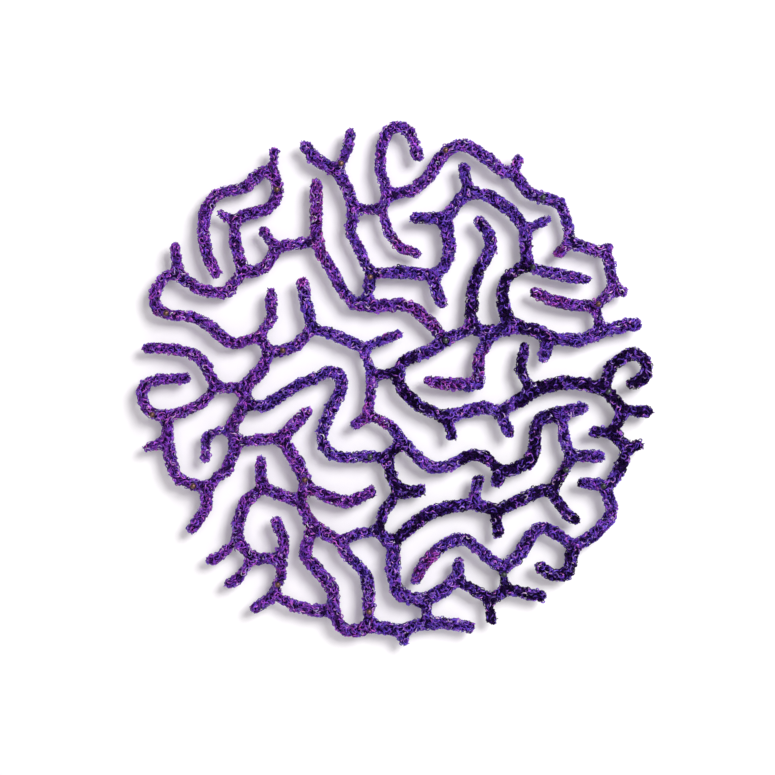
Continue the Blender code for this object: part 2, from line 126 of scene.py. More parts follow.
# %% Point the camera
PHOTO_WIDTH = 775
PHOTO_PIXEL = 0.5 * MM
VIEW_CENTRE_X = -3.4 * MM
VIEW_CENTRE_Z = -2.0 * MM
LENS = 85
SENSOR = 36

strand_boxes = [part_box(name) for name in strand_names]
strand_front = min(low.y for low, high in strand_boxes)
strand_back = max(high.y for low, high in strand_boxes)
strand_plane = (strand_front + strand_back) / 2
camera_distance = PHOTO_WIDTH * PHOTO_PIXEL * LENS / SENSOR
bpy.ops.object.camera_add(
    location=(VIEW_CENTRE_X, strand_plane - camera_distance, VIEW_CENTRE_Z),
    rotation=(math.radians(90), 0, 0))
camera = bpy.context.object
camera.data.lens = LENS
camera.data.sensor_width = SENSOR
bpy.context.scene.camera = camera
print(f"strands lie {-strand_plane / MM:.1f} mm in front of the wall, camera {camera_distance:.2f} m off")

# %% [markdown]
# ## Shader maths
# A varying number in a material is wrapped in a small class, so that sums of masks read like ordinary
# Python. Any other node comes from one method of the finish that is being made.

# %% A number and a finish
class Number:
    """A varying number in a finish. Arithmetic on it adds Math nodes."""

    def __init__(self, finish, socket):
        self.finish = finish
        self.socket = socket

    def _math(self, operation, first, second):
        made = self.finish.node("ShaderNodeMath", {"operation": operation}, {0: first, 1: second})
        return Number(self.finish, made.outputs[0])

    def __add__(self, other):
        return self._math("ADD", self, other)

    def __sub__(self, other):
        return self._math("SUBTRACT", self, other)

    def __rsub__(self, other):
        return self._math("SUBTRACT", other, self)

    def __mul__(self, other):
        return self._math("MULTIPLY", self, other)

    __radd__ = __add__
    __rmul__ = __mul__


class Finish:
    """A material with one principled shader, whose constants are given by socket name."""

    def __init__(self, name, **constants):
        self.material = bpy.data.materials.new(name)
        self.material.use_nodes = True
        self.tree = self.material.node_tree
        self.shader = self.tree.nodes["Principled BSDF"]
        for socket, value in constants.items():
            self.shader.inputs[socket.replace("_", " ")].default_value = value

    def node(self, kind, settings=None, inputs=None):
        """A node of a kind: its settings are set first, then its sockets' values or links."""
        made = self.tree.nodes.new(kind)
        for setting, value in (settings or {}).items():
            if setting == "stops":
                ramp = made.color_ramp
                while len(ramp.elements) < len(value):
                    ramp.elements.new(1.0)
                for element, (position, colour) in zip(ramp.elements, value):
                    element.position = position
                    element.color = (*colour, 1)
            else:
                setattr(made, setting, value)
        for socket, value in (inputs or {}).items():
            self.feed(made.inputs[socket], value)
        return made

    def feed(self, socket, value):
        """Links a socket to a number or an output, or sets its value."""
        if isinstance(value, Number):
            value = value.socket
        if isinstance(value, bpy.types.NodeSocket):
            self.tree.links.new(value, socket)
        else:
            socket.default_value = value

    def object_place(self):
        return self.node("ShaderNodeTexCoord").outputs["Object"]

    def noise(self, size, detail=2.0):
        """Smooth noise from 0 to 1 with features of about this size, in metres."""
        made = self.node("ShaderNodeTexNoise", {}, {
            "Vector": self.object_place(), "Scale": 1 / size, "Detail": detail})
        return Number(self, made.outputs["Fac"])


# %% [markdown]
# ## Wall, floor and light
# The wall stands where the part's frame puts it, just behind the strands, and it is white enough to burn
# out as in the photograph. From behind it is see-through, because a wall would hide the back of a thing
# that hangs on it. The main light is a large soft one at the upper right. The strands' shadows fall 5 mm
# to the left and 4 mm down on a wall 8.5 mm behind them, which gives its direction, and their blurred
# edges give its size. A large panel in front and the world's even light fill them.

# %% Build the stage
WALL_SIZE = 3.0
FLOOR_DROP = 0.55
WALL_SHADES = (0.91, 0.93)
FLOOR_SHADES = (0.66, 0.70)
PAINT_PATCH = 20 * MM       # how wide a patch of one shade is

bpy.ops.mesh.primitive_plane_add(
    size=WALL_SIZE, location=(0, 0, WALL_SIZE / 2 - FLOOR_DROP), rotation=(math.radians(90), 0, 0))
wall = bpy.context.object
wall.name = "wall_behind"
bpy.ops.mesh.primitive_plane_add(size=2 * WALL_SIZE, location=(0, 0, -FLOOR_DROP))
floor = bpy.context.object
floor.name = "floor_below"
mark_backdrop(wall, floor)


def pale_paint(name, shades):
    """A pale matt paint whose grey drifts between two shades."""
    made = Finish(name, Roughness=0.9)
    made.feed(made.shader.inputs["Base Color"], made.node(
        "ShaderNodeValToRGB", {"stops": [(0.3, [shades[0]] * 3), (0.7, [shades[1]] * 3)]},
        {0: made.noise(PAINT_PATCH)}).outputs["Color"])
    return made


paint = pale_paint("wall_paint", WALL_SHADES)
clear = paint.node("ShaderNodeBsdfTransparent")
seen_from_behind = paint.node("ShaderNodeNewGeometry").outputs["Backfacing"]
mixed = paint.node("ShaderNodeMixShader", {}, {
    0: seen_from_behind, 1: paint.shader.outputs[0], 2: clear.outputs[0]})
paint.feed(paint.tree.nodes["Material Output"].inputs["Surface"], mixed.outputs[0])
wall.data.materials.append(paint.material)
floor.data.materials.append(pale_paint("floor_paint", FLOOR_SHADES).material)
print(f"the wall is {WALL_SIZE:.0f} m wide, the floor lies {FLOOR_DROP:.2f} m under the disc's centre")

# %% Light it
SHADOW_SHIFT = Vector((-5.0 * MM, strand_plane, -4.0 * MM))
KEY_DISTANCE = 2.0
KEY_SIZE = 0.95
KEY_POWER = 34.0
FILL_DISTANCE = 3.0
FILL_SIZE = 2.6
FILL_POWER = 32.0
FILL_COLOUR = (1.0, 0.94, 0.98)
WORLD_STRENGTH = 0.23

to_key = Vector((-SHADOW_SHIFT.x, strand_plane, -SHADOW_SHIFT.z)).normalized()
bpy.ops.object.light_add(type="AREA", location=to_key * KEY_DISTANCE)
key = bpy.context.object
key.rotation_euler = to_key.to_track_quat("Z", "Y").to_euler()
key.data.shape = "DISK"
key.data.size = KEY_SIZE
key.data.energy = KEY_POWER
bpy.ops.object.light_add(type="AREA", location=(0, -FILL_DISTANCE, 0), rotation=(math.radians(90), 0, 0))
fill = bpy.context.object
fill.data.size = FILL_SIZE
fill.data.energy = FILL_POWER
fill.data.color = FILL_COLOUR
world = bpy.data.worlds.new("even_light")
bpy.context.scene.world = world
world.use_nodes = True
world.node_tree.nodes["Background"].inputs["Color"].default_value = (*FILL_COLOUR, 1)
world.node_tree.nodes["Background"].inputs["Strength"].default_value = WORLD_STRENGTH
bpy.context.scene.view_settings.view_transform = "Standard"
print("key light towards", [round(share, 2) for share in to_key])

# %% [markdown]
# ## The thread's colours
# Six dyes of machine embroidery thread are mixed, a few millimetres of one beside the next, so the eye
# sees a purple that drifts from plum at the left to black violet at the right. Each strand has a mix
# named by its slot in the record. Some short stretches have another mix, because the maker changed
# thread there, and those are listed as round patches.

# %% Dyes and mixes
DYES = {
    "ink": (0.018, 0.003, 0.055),
    "violet": (0.205, 0.090, 0.840),
    "purple": (0.280, 0.084, 0.820),
    "plum": (0.320, 0.072, 0.690),
    "magenta": (0.450, 0.072, 0.530),
    # Lilac is a pale thread that also stands in for painted highlights, scattered through every mix
    "lilac_and_glint": (0.400, 0.255, 0.930),
}
MIXES = {
    "plum": {"plum": 0.53, "purple": 0.28, "magenta": 0.02, "violet": 0.08, "lilac_and_glint": 0.09},
    "purple": {"purple": 0.50, "plum": 0.22, "violet": 0.18, "magenta": 0.01, "lilac_and_glint": 0.09},
    "violet": {"violet": 0.52, "purple": 0.28, "ink": 0.09, "plum": 0.03, "lilac_and_glint": 0.08},
    "ink": {"ink": 0.58, "violet": 0.25, "purple": 0.12, "lilac_and_glint": 0.05},
    "magenta": {"magenta": 0.30, "plum": 0.36, "purple": 0.24, "lilac_and_glint": 0.10},
}
# Each patch: where its middle is across and up from the disc's centre, its radius, in mm, and its mix
DYE_PATCHES = [
    (-17, 51, 10, "violet"), (-20, 45, 20, "purple"), (-8, 39, 14, "plum"), (3, 69, 6, "magenta"),
    (57, 43, 12, "ink"), (62, 57, 7, "ink"), (70, 27, 9, "ink"), (45, 75, 14, "violet"),
    (33, 24, 8, "violet"), (18, 17, 8, "violet"), (43, 21, 6, "violet"), (83, 66, 5, "magenta"),
    (84, 84, 20, "violet"), (77, 44, 8, "magenta"), (92, 39, 10, "plum"), (115, 46, 6, "plum"),
    (-46, 51, 4, "magenta"), (-43, 37, 10, "violet"), (-22, 20, 18, "violet"), (-90, -28, 10, "purple"),
    (-9, -16, 8, "magenta"), (46, -37, 14, "ink"), (44, -16, 17, "violet"), (90, -12, 10, "violet"),
    (82, -52, 13, "ink"), (44, -53, 9, "violet"), (86, -65, 8, "ink"), (106, -64, 21, "violet"),
    (82, -93, 13, "ink"), (0, -63, 13, "ink"), (-12, -74, 9, "violet"), (-16, -95, 9, "violet"),
    (14, -90, 9, "magenta"), (15, -119, 26, "violet"), (-37, -62, 9, "magenta"),
]
SHADE_SPREAD = 0.40
chance = np.random.default_rng(20)


def mix_at(place, slot):
    """The name of the mix at a place on a strand with this slot."""
    for across, up, radius, mix in DYE_PATCHES:
        if math.hypot(place[0] / MM - across, place[2] / MM - up) < radius:
            return mix
    return slot


def thread_colour(mix):
    """One thread's colour: a dye drawn from the mix, a little lighter or darker."""
    shares = MIXES[mix]
    dye = chance.choice(list(shares), p=list(shares.values()))
    return np.array(DYES[dye]) * math.exp(SHADE_SPREAD * chance.normal())


print("mixes:", ", ".join(MIXES))

# %% [markdown]
# ## Thread finish
# Machine embroidery thread is a smooth two-ply yarn with a satin shine. Each thread's dye, with painted
# shade and painted glints in it, is stored in its mesh as a colour attribute. Fine slanting plies are
# drawn from two more attributes, the distance along the thread and the place across it, and they feed a
# little bump, so the plies follow each thread however it turns. The shine is that of a slightly metallic
# surface, which tints it with the dye.

# %% Make the thread finish
PLY_LENGTH = 0.9            # of one turn of the yarn, in mm
PLY_SLANT = 1.6
thread = Finish("satin_thread", Specular_IOR_Level=0.18, Specular_Tint=(0.7, 0.5, 1.0, 1), Metallic=0.45)
# The dye attribute holds each thread's colour with painted shade and painted glints in it
dye_shade_and_glint = thread.node("ShaderNodeAttribute", {"attribute_name": "dye"}).outputs["Color"]
run_length = Number(thread, thread.node(
    "ShaderNodeAttribute", {"attribute_name": "run"}).outputs["Fac"])
across_place = Number(thread, thread.node(
    "ShaderNodeAttribute", {"attribute_name": "across"}).outputs["Fac"])
turns = run_length * (math.tau / PLY_LENGTH) + across_place * PLY_SLANT
plies = Number(thread, thread.node(
    "ShaderNodeMath", {"operation": "SINE"}, {0: turns}).outputs[0]) * 0.5 + 0.5
worn = thread.noise(1.5 * MM)
shade = thread.node("ShaderNodeMix", {"data_type": "RGBA", "blend_type": "MULTIPLY"}, {
    "Factor": 0.35, 6: dye_shade_and_glint,
    7: thread.node("ShaderNodeValToRGB", {"stops": [(0.25, (0.3, 0.28, 0.35)), (0.6, (1, 1, 1))]},
                   {0: worn * 0.7 + plies * 0.3}).outputs["Color"]})
thread.feed(thread.shader.inputs["Base Color"], shade.outputs[2])
thread.feed(thread.shader.inputs["Roughness"], 0.46 - worn * 0.14)
thread.feed(thread.shader.inputs["Normal"], thread.node(
    "ShaderNodeBump", {}, {"Strength": 0.35, "Distance": 0.06 * MM, "Height": plies}).outputs["Normal"])
print("thread finish has", len(thread.tree.nodes), "nodes")

# %% [markdown]
# ## Ground finish
# Between the top threads one looks down on older stitches, which are packed and shaded. They are part
# of the strand's inner body, which is painted dark as painted shade, and its finish has short streaks like
# buried stitches.

# %% Make the ground finish
ground = Finish("packed_stitches", Roughness=0.8, Specular_IOR_Level=0.05)
# The dye attribute holds the mix's colour, darkened as painted shade
ground_dye_and_shade = ground.node("ShaderNodeAttribute", {"attribute_name": "dye"}).outputs["Color"]
streaks = ground.noise(0.45 * MM, detail=1.0)
buried = ground.node("ShaderNodeMix", {"data_type": "RGBA", "blend_type": "MULTIPLY"}, {
    "Factor": 1.0, 6: ground_dye_and_shade,
    7: ground.node("ShaderNodeValToRGB", {"stops": [(0.42, (0.1, 0.06, 0.13)), (0.62, (0.9, 0.7, 1.0))]},
                   {0: streaks}).outputs["Color"]})
ground.feed(ground.shader.inputs["Base Color"], buried.outputs[2])
ground.feed(ground.shader.inputs["Normal"], ground.node(
    "ShaderNodeBump", {}, {"Strength": 0.8, "Distance": 0.25 * MM, "Height": streaks}).outputs["Normal"])
print("ground finish has", len(ground.tree.nodes), "nodes")

# %% [markdown]
# ## A guide surface for the needle
# The thread doesn't stop where one strand meets the next. So copies of all the solids are swollen until
# they touch, joined and remeshed into one surface, which the threads follow and which is thrown away
# afterwards. The needle needs to know which way the strand runs at each of its points. Round a tube the
# surface normals turn, and along it they stay the same, so the direction in which nearby normals vary
# least is the strand's own. Nearby normals are gathered by averaging their products along the mesh's
# edges a few times.

# %% Join the solids into the guide
MERGE = 0.01 * MM
GUIDE_SWELL = 0.30 * MM
GUIDE_VOXEL = 1.4 * MM
GATHER_ROUNDS = 7


def copy_of(node_name, name):
    """A copy of a strand's solid as one closed skin, on its own."""
    copy = bpy.data.objects.new(name, nodes[node_name].data.copy())
    bpy.context.scene.collection.objects.link(copy)
    copy.data.materials.clear()
    select_only(copy)
    bpy.ops.object.mode_set(mode="EDIT")
    bpy.ops.mesh.select_all(action="SELECT")
    bpy.ops.mesh.remove_doubles(threshold=MERGE)
    bpy.ops.object.mode_set(mode="OBJECT")
    return copy


def neighbour_sums(pairs, values, weights):
    """For each point, the weighted sum of its neighbours' values."""
    first, second = pairs[:, 0], pairs[:, 1]
    return np.stack([
        np.bincount(first, weights * column[second], len(values))
        + np.bincount(second, weights * column[first], len(values))
        for column in values.T], axis=1)


def run_directions(mesh, rounds):
    """Which way the strand runs at each point, and how round the surface is there."""
    pairs = mesh_array(mesh.edges, "vertices", 2)
    normals = mesh_array(mesh.vertex_normals, "vector", 3).astype(float)
    products = np.einsum("pi,pj->pij", normals, normals).reshape(-1, 9)
    even = np.ones(len(pairs))
    counts = 1 + neighbour_sums(pairs, np.ones((len(normals), 1)), even)
    for _ in range(rounds):
        products = (products + neighbour_sums(pairs, products, even)) / counts
    spreads, directions = np.linalg.eigh(products.reshape(-1, 3, 3))
    return directions[:, :, 0], spreads[:, 0]


swollen = [copy_of(name, "guide_part") for name in strand_names]
for part in swollen:
    apply_modifier(part, "DISPLACE", strength=GUIDE_SWELL, mid_level=0)
select_only(*swollen)
bpy.ops.object.join()
guide = bpy.context.object
apply_modifier(guide, "REMESH", mode="VOXEL", voxel_size=GUIDE_VOXEL)
apply_modifier(guide, "SMOOTH", factor=0.5, iterations=2)
before = mesh_array(guide.data.vertices, "co", 3).astype(float)
print("the guide has", len(before), "points")

# %% [markdown]
# ## Round the bends
# The solids are made of straight stretches, but the real strands wind smoothly. So the guide is smoothed
# along the strands and hardly across them: an edge of the mesh counts the more, the better it follows
# the run. Each pull towards the neighbours is followed by a slightly larger push away, which keeps bends
# from shrinking. That alone would also sharpen the blunt tips. So the moves are averaged round each
# strand, across the run, which leaves only its sideways shift.

# %% Smooth along the run
BEND_PULL = 0.6
BEND_PUSH = -0.636
BEND_ROUNDS = 60
ROUND_TRIPS = 80
SHARPNESS = 8               # how strictly along and across are told apart
MOST_SHIFT = 0.9 * MM

runs, roundness = run_directions(guide.data, GATHER_ROUNDS)
quads = mesh_array(guide.data.polygons, "vertices", 4)
edges = mesh_array(guide.data.edges, "vertices", 2)
pairs = np.concatenate([edges, quads[:, [0, 2]], quads[:, [1, 3]]])
ways = unit(before[pairs[:, 1]] - before[pairs[:, 0]])
along = np.abs(np.sum(ways * runs[pairs[:, 0]], axis=1) * np.sum(ways * runs[pairs[:, 1]], axis=1))
follow = along ** (SHARPNESS / 2) + 1e-6
across = (1 - np.minimum(along, 1)) ** (SHARPNESS / 2) + 1e-6
ones = np.ones((len(before), 1))
follow_totals = neighbour_sums(pairs, ones, follow)
across_totals = neighbour_sums(pairs, ones, across)
after = before.copy()
for _ in range(BEND_ROUNDS):
    for amount in (BEND_PULL, BEND_PUSH):
        after += amount * (neighbour_sums(pairs, after, follow) / follow_totals - after)
shifts = after - before
for _ in range(ROUND_TRIPS):
    shifts = (shifts + neighbour_sums(pairs, shifts, across) / across_totals) / 2
shifts -= np.sum(shifts * runs, axis=1, keepdims=True) * runs
shifts[:, 1] = 0
shifts *= np.minimum(1, MOST_SHIFT / np.maximum(np.linalg.norm(shifts, axis=1, keepdims=True), 1e-9))
guide.data.vertices.foreach_set("co", (before + shifts).ravel().astype(np.float32))
guide.data.update()
moved = np.linalg.norm(shifts, axis=1) / MM
print(f"half of the points moved by up to {np.median(moved):.2f} mm, all by up to {moved.max():.2f} mm")

# %% [markdown]
# ## Uneven girth
# Hand-guided stitching leaves a strand thicker in one place than in the next. One subdivision gives the
# guide enough points to show that, and a cloudy displacement moves them in and out by about half a
# millimetre. Noise is enough here, because no two such strands are alike.

# %% Add lumps
LUMP_SIZE = 3.2 * MM
LUMP_HEIGHT = 1.1 * MM

lumps = bpy.data.textures.new("lumps", "CLOUDS")
lumps.noise_scale = LUMP_SIZE
apply_modifier(guide, "SUBSURF", levels=1, render_levels=1)
apply_modifier(guide, "DISPLACE", texture=lumps, strength=LUMP_HEIGHT, mid_level=0.5)
runs, roundness = run_directions(guide.data, 2 * GATHER_ROUNDS)
points = mesh_array(guide.data.vertices, "co", 3).astype(float)
normals = mesh_array(guide.data.vertex_normals, "vector", 3).astype(float)
bpy.data.objects.remove(guide)
print("the finer guide has", len(points), "points")
print("roundness of most points and of the tips", np.round(np.percentile(roundness, [50, 98]), 3))

# %% [markdown]
# ## The strands' inner bodies
# Under the top threads each strand is packed with older stitches. That inner body is a copy of the
# strand's solid, moved as its stretch of the guide was, remeshed evenly, smoothed and shrunk, so that it
# lies well under the surface. Where strands meet it is swollen instead, so that the bodies reach into
# each other and no light comes through the fork.

# %% Shape the inner bodies
CORE_VOXEL = 1.1 * MM
CORE_SINK = 0.75 * MM
FORK_SWELL = 0.35 * MM
FORK_REACH = (1.4 * MM, 3.0 * MM)   # how near another strand is at full and at no swelling
CORE_SHARE = 0.5                    # of the remeshed triangles that are kept
OFF_FORKS = "off_forks"             # a name, because applying a modifier frees the group Python holds


def tree_of(places):
    """A search tree of these places."""
    tree = kdtree.KDTree(len(places))
    for number, place in enumerate(places):
        tree.insert(place, number)
    tree.balance()
    return tree


def rough_body(node_name, tree):
    """The strand's solid, remeshed and moved as its stretch of the guide was."""
    core = copy_of(node_name, f"{node_name}_lace")
    apply_modifier(core, "REMESH", mode="VOXEL", voxel_size=CORE_VOXEL)
    for vertex in core.data.vertices:
        vertex.co += Vector(shifts[tree.find(vertex.co)[1]])
    apply_modifier(core, "SMOOTH", factor=0.5, iterations=5)
    return core


def shrink_off_forks(core, tree, owners):
    """Swells the body near other strands and shrinks the rest of it."""
    group = core.vertex_groups.new(name=OFF_FORKS)
    for vertex in core.data.vertices:
        others = [gap for _, number, gap in tree.find_range(vertex.co, FORK_REACH[1])
                  if owners[number] is not core]
        nearest = min(others, default=FORK_REACH[1])
        weight = (nearest - FORK_REACH[0]) / (FORK_REACH[1] - FORK_REACH[0])
        group.add([vertex.index], min(max(weight, 0.0), 1.0), "REPLACE")
    apply_modifier(core, "DISPLACE", strength=FORK_SWELL, mid_level=0)
    apply_modifier(
        core, "DISPLACE", strength=-CORE_SINK - FORK_SWELL, mid_level=0, vertex_group=OFF_FORKS)
    core.vertex_groups.clear()
    apply_modifier(core, "DECIMATE", ratio=CORE_SHARE)


coarse_tree = tree_of(before)
cores = {name: rough_body(name, coarse_tree) for name in strand_names}
owners = [core for core in cores.values() for _ in core.data.vertices]
strand_tree = tree_of([vertex.co.copy() for core in cores.values() for vertex in core.data.vertices])
for core in cores.values():
    shrink_off_forks(core, strand_tree, owners)
print("inner bodies have", sum(len(core.data.polygons) for core in cores.values()), "faces")


def owners_of(places):
    """The strands that these places belong to."""
    names = {core: name for name, core in cores.items()}
    return np.array([names[owners[strand_tree.find(place)[1]]] for place in places])


# %% [markdown]
# ## Laying the thread
# The needle is walked over the guide in short steps. Two kinds of stitch are laid, as in the real lace:
# running threads that swing to and fro along the strand, and the small rings that a hand-guided machine
# leaves when it circles while it drifts on. Each rises and dips as it crosses others. Their starts are
# spread evenly, with fewer at the back. All threads of one kind are walked at once, because arrays are
# far quicker than one thread after another.

# %% Where threads start, and the walk
guide_tree = tree_of(points)
WEAVE_HEIGHT = 0.24 * MM
WEAVE_TURN = 2.0            # how far the rise and dip gets on in a step, as an angle
MOST_CELLS = 4096           # more than there are cells along any axis
AT_THE_BACK = 0.3           # a point whose normal leans this far to the wall is at a strand's back
TURN_SPREAD = (0.75, 1.25)  # how far threads of one kind differ in their turn, swing and stride
SWING_SPREAD = (0.6, 1.3)
STRIDE_SPREAD = (0.85, 1.15)


def spread_starts(cell, back_share, fits=None):
    """Numbers of guide points spread evenly, one in each cell of the strands' surface."""
    order = chance.permutation(len(points))
    if fits is not None:
        order = order[fits[order]]
    cells = np.floor(points[order] / cell).astype(np.int64)
    keys = (cells[:, 0] * MOST_CELLS + cells[:, 1]) * MOST_CELLS + cells[:, 2]
    chosen = order[np.unique(keys, return_index=True)[1]]
    faces_wall = normals[chosen][:, 1] > AT_THE_BACK
    return chosen[~faces_wall | (chance.random(len(chosen)) < back_share)]


def walk(starts, steps, step, turn, swing, drift, lift):
    """The threads' paths, the normals and the heights along them, one row for each start.

    turn is the angle of each step for rings, swing the widest angle of running threads.
    """
    count = len(starts)
    place = points[starts].copy()
    heading = runs[starts] * chance.choice([-1, 1], count)[:, None]
    angle = chance.uniform(0, math.tau, count)
    turning = (turn or 1.0) * chance.uniform(*TURN_SPREAD, count) * chance.choice([-1, 1], count)
    swinging = swing * chance.uniform(*SWING_SPREAD, count)
    stride = step * chance.uniform(*STRIDE_SPREAD, count)[:, None]
    level = lift[0] + (lift[1] - lift[0]) * chance.random(count)
    weave = chance.uniform(0, math.tau, count)
    path = np.empty((count, steps + 1, 3))
    up = np.empty((count, steps + 1, 3))
    heights = np.empty((count, steps + 1))
    for number in range(steps + 1):
        near = [guide_tree.find(point)[1] for point in place]
        normal = normals[near]
        run = runs[near]
        run = run * np.where(np.sum(run * heading, axis=1) < 0, -1, 1)[:, None]
        heading = run
        height = level + WEAVE_HEIGHT * np.sin(weave + WEAVE_TURN * number)
        off = np.sum((place - points[near]) * normal, axis=1)
        place = place + (height - off)[:, None] * normal
        path[:, number] = place
        up[:, number] = normal
        heights[:, number] = height
        side = np.cross(normal, run)
        angle = angle + turning
        way = angle if turn else swinging * np.sin(angle)
        place = place + stride * (np.cos(way)[:, None] * run + np.sin(way)[:, None] * side) + drift * run
    return path, up, heights


# %% [markdown]
# ## From path to thread
# A thread's section is a low three-sided bar: at the size of the photograph a thread is about one pixel
# wide, so a round section would cost many faces and show nothing more. Its ends are thinner and dive
# into the strand, like a thread that goes on underneath. Shade is painted into each thread's colour: the
# deeper a thread lies, the darker it is painted, as painted shade that the later stitches cast on the
# older ones. On a strand's flanks the threads are painted darker too, as painted shade. Painted glints
# make a thread's colour flicker from point to point, as a shiny one's shine does when it twists.

# %% Make threads from paths
THREAD_HALF_WIDTH = 0.32 * MM
THREAD_HEIGHT = 0.27 * MM
UNDERSIDE = 0.5             # how far the underside lies below the path, as a share of the height
END_SIZE = 0.45
END_DIVE = 0.50 * MM
CORNERS = 3
# Painted shade: threads are painted darkest at DEEP and fully bright at HIGH, and darker on a strand's
# flanks
DEEP = -1.0 * MM
HIGH = 0.05 * MM
DEEP_SHADE = 0.06
DEPTH_CURVE = 1.1           # above 1, the shade lightens late on the way up
FLANK_SHADE = 0.55
FLANK_RISE = 1.3            # above 1, the flanks' darkening ends before the surface faces straight out
# Painted glints: how far a thread's colour is brightened and darkened from point to point
PAINTED_GLINT_SPREAD = 0.60
BRIGHTEST = 0.82


def thread_arrays(path, up, heights, colours, dive=END_DIVE, end_size=END_SIZE):
    """Corner points, faces and attributes of threads that follow these paths."""
    count, rings, _ = path.shape
    path = path.copy()
    path[:, (0, -1)] -= up[:, (0, -1)] * dive
    along = unit(np.gradient(path, axis=1))
    side = unit(np.cross(up, along))
    above = np.cross(along, side)
    size = np.ones(rings)
    size[[0, -1]] = end_size
    width = (THREAD_HALF_WIDTH * size)[None, :, None]
    height = (THREAD_HEIGHT * size)[None, :, None]
    corners = np.stack([
        path - side * width - above * height * UNDERSIDE,
        path + side * width - above * height * UNDERSIDE,
        path + above * height,
    ], axis=2)
    first = (np.arange(count)[:, None, None] * rings + np.arange(rings - 1)[None, :, None]) * CORNERS
    corner = np.arange(CORNERS)[None, None, :]
    after = (corner + 1) % CORNERS
    sides = np.stack([
        first + corner, first + after, first + CORNERS + after, first + CORNERS + corner], axis=3)
    start = np.arange(count)[:, None] * rings * CORNERS
    end = start + (rings - 1) * CORNERS
    caps = np.concatenate([start + [[0, 2, 1]], end + [[0, 1, 2]]])
    steps = np.linalg.norm(np.diff(path, axis=1), axis=2)
    lengths = np.concatenate([np.zeros((count, 1)), np.cumsum(steps, axis=1)], axis=1) / MM
    # Painted shade: the colour is darkened with a thread's depth and on a strand's flanks
    painted_depth_shade = np.clip((heights - DEEP) / (HIGH - DEEP), 0, 1) ** DEPTH_CURVE
    facing = np.minimum(np.abs(up[:, :, 1]) * FLANK_RISE, 1)
    shade = DEEP_SHADE + (1 - DEEP_SHADE) * painted_depth_shade
    shade = shade * (FLANK_SHADE + (1 - FLANK_SHADE) * facing)
    # Painted glints: the colour is brightened and darkened at random from point to point, up to BRIGHTEST,
    # and the dye attribute holds the result
    painted_glint = np.exp(PAINTED_GLINT_SPREAD * chance.normal(size=heights.shape))
    dye = np.minimum(colours[:, None, :] * (shade * painted_glint)[:, :, None], BRIGHTEST)
    return {
        "corners": corners.reshape(-1, 3),
        "quads": sides.reshape(-1, 4),
        "caps": caps,
        "dye": np.repeat(dye.reshape(-1, 3), CORNERS, axis=0),
        "run": np.repeat(lengths.ravel(), CORNERS),
        "across": np.tile([-1.0, 1.0, 0.0], count * rings),
    }


# %% [markdown]
# ## The stitches, layer by layer
# The maker stitches over the same strand again and again. Here that takes three layers: long deep
# threads, the rings, and a few short threads on top. Each layer is one row of settings, so that a layer
# is changed or added without new code. Then each thread gets its colour and goes to the strand that
# its middle lies on.

# %% Lay every thread and share them out
STITCHES = [
    # deep running threads, rings, and a few running threads on top
    {"cell": 4.6 * MM, "back_share": 0.8, "steps": 8, "step": 1.6 * MM, "turn": 0, "swing": 0.9,
     "drift": 0, "lift": (-0.85 * MM, -0.6 * MM)},
    {"cell": 2.3 * MM, "back_share": 0.45, "steps": 5, "step": 1.0 * MM, "turn": 1.0, "swing": 0,
     "drift": 0.25 * MM, "lift": (-0.33 * MM, 0.0 * MM)},
    {"cell": 3.6 * MM, "back_share": 0.45, "steps": 4, "step": 1.1 * MM, "turn": 0, "swing": 1.3,
     "drift": 0, "lift": (-0.20 * MM, 0.1 * MM)},
]

threads_of = {name: [] for name in strand_names}


def share_out(path, up, heights, **ends):
    """Gives each of these threads a colour and puts it with its strand's."""
    middles = path[:, path.shape[1] // 2]
    owner = owners_of(middles)
    colours = np.array([
        thread_colour(mix_at(middle, slot_of[name])) for middle, name in zip(middles, owner)])
    for name in strand_names:
        mine = owner == name
        if mine.any():
            threads_of[name].append(
                thread_arrays(path[mine], up[mine], heights[mine], colours[mine], **ends))
    length = np.linalg.norm(np.diff(path, axis=1), axis=2).sum()
    print(f"{len(path)} threads, {length:.0f} m")


upper_places = []
for stitch in STITCHES:
    settings = dict(stitch)
    starts = spread_starts(settings.pop("cell"), settings.pop("back_share"))
    path, up, heights = walk(starts, **settings)
    share_out(path, up, heights)
    if stitch is not STITCHES[0]:
        upper_places += path.reshape(-1, 3).tolist()

# %% [markdown]
# ## Darning
# Threads laid at random leave bald spots, which a maker sees and stitches over. So the guide's points are
# asked how near the next upper thread is, and short threads start where none is near. That closes the
# surface with far fewer threads than a denser layer everywhere would take.

# %% Darn the bald spots
DARNING = {
    "steps": 3, "step": 1.1 * MM, "turn": 0, "swing": 1.3, "drift": 0, "lift": (-0.4 * MM, -0.1 * MM)}
DARNING_CELL = 1.7 * MM
DARNING_BACK_SHARE = 0.3
BALD_GAP = 0.85 * MM        # a point this far from every upper thread is darned over

upper_tree = tree_of(upper_places)
bald = np.array([upper_tree.find(point)[2] for point in points]) > BALD_GAP
print(f"bald share of the surface: {bald.mean():.2f}")
share_out(*walk(spread_starts(DARNING_CELL, DARNING_BACK_SHARE, bald), **DARNING))

# %% [markdown]
# ## Loops and loose ends
# Where the machine turned at the edge of a strand, small loops stand out sideways, and wall shows through
# some of them. At the strands' tips, cut thread ends stick out by less than a millimetre. Both are laid
# like the other threads, only along paths of their own: squashed circles, and short curls.

